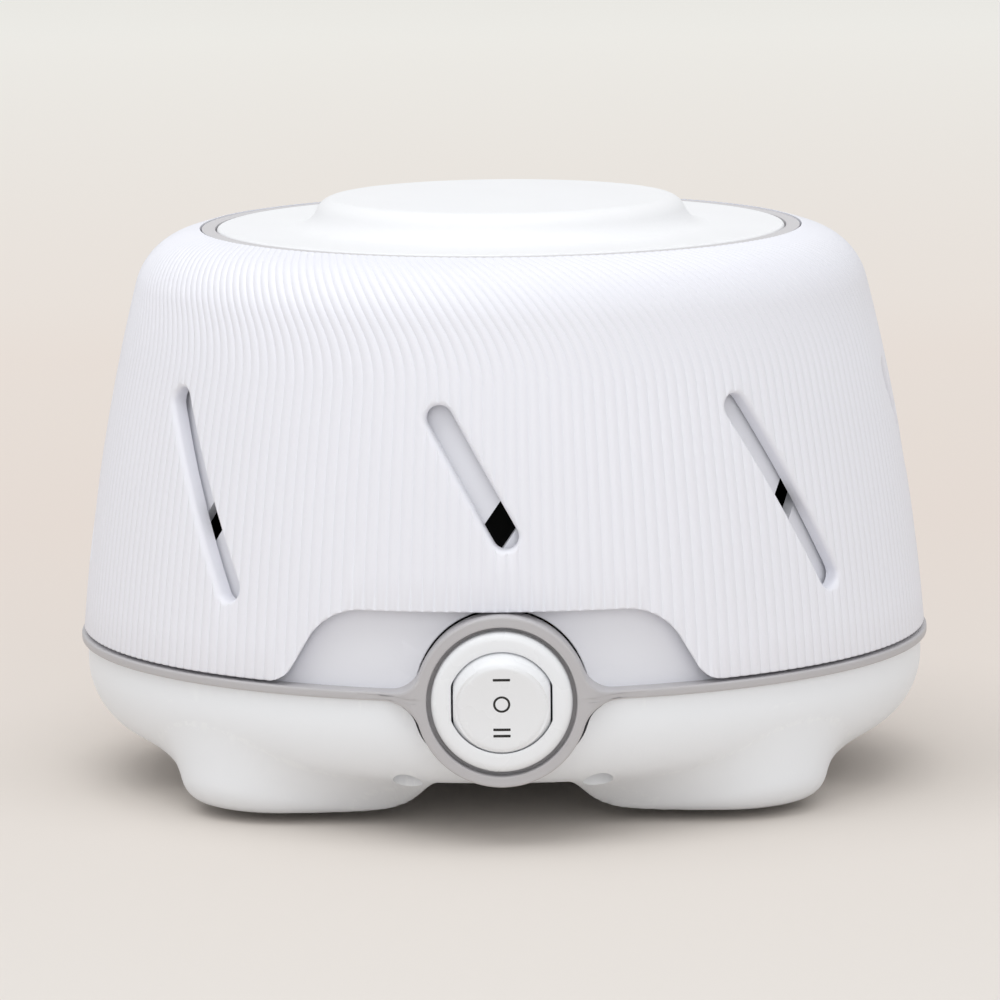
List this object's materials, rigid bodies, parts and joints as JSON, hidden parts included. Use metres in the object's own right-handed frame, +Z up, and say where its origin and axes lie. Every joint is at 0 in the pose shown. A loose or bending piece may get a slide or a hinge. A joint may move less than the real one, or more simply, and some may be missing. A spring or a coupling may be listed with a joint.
{
  "type": "white noise sound machine",
  "caption": "Round fan-based sound machine with a turning slotted outer shell, turning tone cap, round rocker switch in a grey bezel and a lobed base.",
  "frame": {"origin": "centre of the object's box on the surface that it stands on, on the axis of the shell and the fan", "axes": "+Z up along the axis, -Y towards the switch at the front, +X to the right seen from the front"},
  "size_m": [0.1408, 0.148, 0.096],
  "materials": {
    "shell_white": "moulded ABS with fine vertical ribs, satin",
    "housing_white": "moulded ABS, satin",
    "base_white": "moulded ABS, smooth satin",
    "cap_white": "moulded ABS, fine-textured satin",
    "trim_grey": "moulded ABS, warm grey satin",
    "switch_white": "moulded nylon, semi-gloss",
    "black_plastic": "moulded polypropylene, black",
    "nylon_natural": "glass-filled nylon",
    "rubber": "moulded rubber",
    "felt": "wool felt",
    "steel": "zinc-plated steel",
    "lamination": "stamped silicon-steel laminations",
    "bronze": "sintered bronze",
    "copper": "enamelled copper",
    "lead_jacket": "PVC insulation"
  },
  "bodies": {
    "case": {"base_shell": "base_white", "rubber_feet": "rubber", "case_screws": "steel", "trim_band": "trim_grey", "switch_body": "switch_white", "switch_terminals": "bronze", "inner_housing": "housing_white", "top_ring": "trim_grey", "glide_ring": "felt", "fan_chamber": "black_plastic", "chamber_screws": "steel", "mount_plate": "steel", "rubber_grommets": "rubber", "mount_screws": "steel", "stator_stack": "lamination", "coil_core": "lamination", "shading_rings": "copper", "coil_bobbin": "nylon_natural", "motor_coil": "copper", "upper_bracket": "steel", "lower_bracket": "steel", "upper_bearing": "bronze", "lower_bearing": "bronze", "motor_screws": "steel", "motor_nuts": "steel", "motor_leads": "lead_jacket", "cord_gland": "rubber"},
    "shell": {"outer_shell": "shell_white"},
    "cap": {"top_cap": "cap_white", "tone_shutter": "black_plastic", "cap_washer": "steel", "cap_screw": "steel"},
    "rocker": {"switch_rocker": "switch_white"},
    "rotor": {"motor_rotor": "lamination", "motor_shaft": "steel", "thrust_washers": "nylon_natural", "fan_wheel": "black_plastic", "wheel_clip": "steel"}
  },
  "joints": [
    {"name": "shell_turn", "type": "hinge", "parent": "case", "child": "shell", "pos_m": [0, 0, 0.025], "axis": [0, 0, 1], "range_deg": [-14.8, 17]},
    {"name": "cap_turn", "type": "hinge", "parent": "case", "child": "cap", "pos_m": [0, 0, 0.085], "axis": [0, 0, 1], "range_deg": [-22.5, 22.5]},
    {"name": "rocker_tilt", "type": "hinge", "parent": "case", "child": "rocker", "pos_m": [0, -0.0687, 0.0235], "axis": [1, 0, 0], "range_deg": [-16, 0]},
    {"name": "fan_spin", "type": "hinge", "parent": "case", "child": "rotor", "pos_m": [0, 0, 0.031], "axis": [0, 0, 1], "continuous": true}
  ]
}
